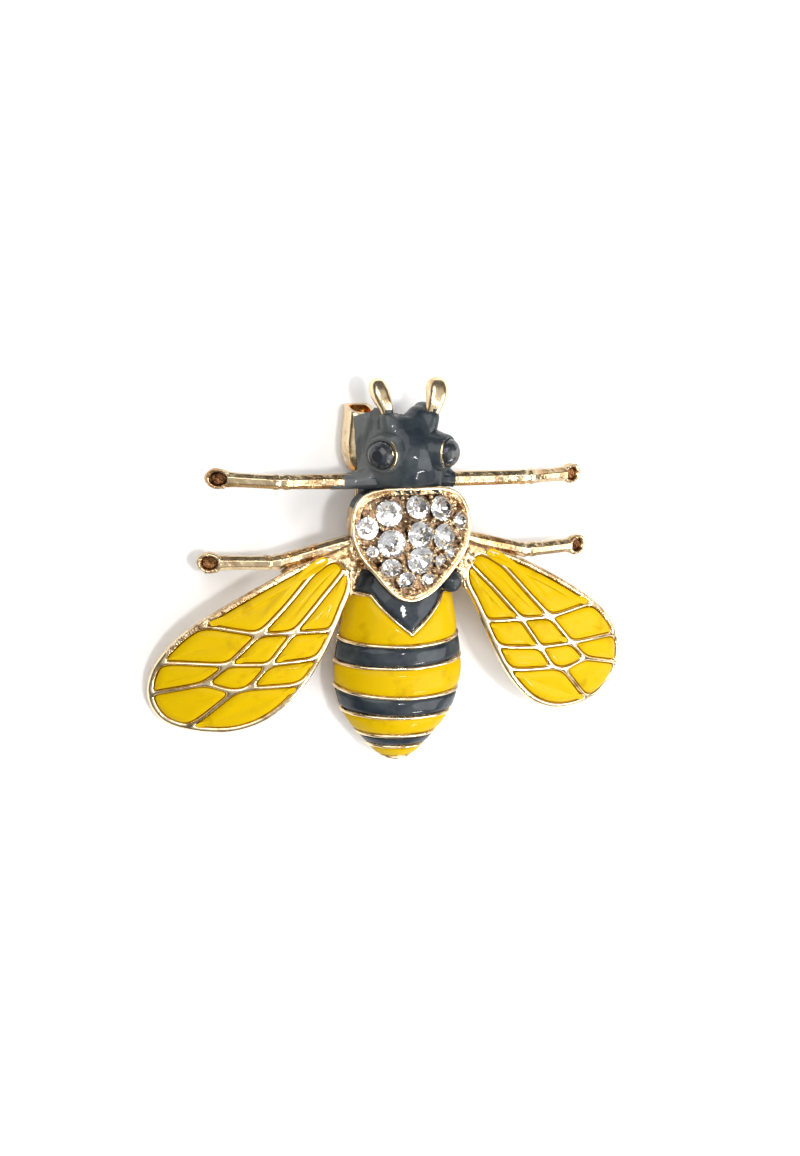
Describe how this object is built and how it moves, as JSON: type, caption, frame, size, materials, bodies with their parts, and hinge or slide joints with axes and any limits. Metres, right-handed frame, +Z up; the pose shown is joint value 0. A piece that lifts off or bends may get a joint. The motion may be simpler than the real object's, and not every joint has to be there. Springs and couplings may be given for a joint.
{
  "type": "insect brooch",
  "caption": "Bee brooch in gold-coloured metal with yellow and slate enamel, a shield set with clear stones, open legs and a pin at the back.",
  "frame": {"origin": "under the middle of the brooch's box, on the surface that it rests on", "axes": "+Z up out of the face of the brooch, +Y towards the head, +X towards the bee's wing on the right of the picture"},
  "size_m": [0.045, 0.0344, 0.0078],
  "materials": {
    "gold_metal": "polished",
    "slate_enamel": "gloss",
    "yellow_enamel": "gloss",
    "clear_stone": "gloss",
    "black_stone": "gloss"
  },
  "bodies": {
    "root": {"casting": "gold_metal", "head_enamel": "slate_enamel", "eye_left": "black_stone", "eye_right": "black_stone", "back_pin": "gold_metal", "abdomen_collar": "slate_enamel", "abdomen_yellow_1": "yellow_enamel", "abdomen_dark_1": "slate_enamel", "abdomen_yellow_2": "yellow_enamel", "abdomen_dark_2": "slate_enamel", "abdomen_yellow_3": "yellow_enamel", "abdomen_dark_3": "slate_enamel", "abdomen_tip": "yellow_enamel", "stone_01": "clear_stone", "stone_02": "clear_stone", "stone_03": "clear_stone", "stone_04": "clear_stone", "stone_05": "clear_stone", "stone_06": "clear_stone", "stone_07": "clear_stone", "stone_08": "clear_stone", "stone_09": "clear_stone", "stone_10": "clear_stone", "stone_11": "clear_stone", "stone_12": "clear_stone", "stone_13": "clear_stone", "stone_14": "clear_stone", "stone_15": "clear_stone", "wing_enamel_left_01": "yellow_enamel", "wing_enamel_left_02": "yellow_enamel", "wing_enamel_left_03": "yellow_enamel", "wing_enamel_left_04": "yellow_enamel", "wing_enamel_left_05": "yellow_enamel", "wing_enamel_left_06": "yellow_enamel", "wing_enamel_left_07": "yellow_enamel", "wing_enamel_left_08": "yellow_enamel", "wing_enamel_left_09": "yellow_enamel", "wing_enamel_left_10": "yellow_enamel", "wing_enamel_left_11": "yellow_enamel", "wing_enamel_right_01": "yellow_enamel", "wing_enamel_right_02": "yellow_enamel", "wing_enamel_right_03": "yellow_enamel", "wing_enamel_right_04": "yellow_enamel", "wing_enamel_right_05": "yellow_enamel", "wing_enamel_right_06": "yellow_enamel", "wing_enamel_right_07": "yellow_enamel", "wing_enamel_right_08": "yellow_enamel", "wing_enamel_right_09": "yellow_enamel", "wing_enamel_right_10": "yellow_enamel", "wing_enamel_right_11": "yellow_enamel"}
  },
  "joints": []
}
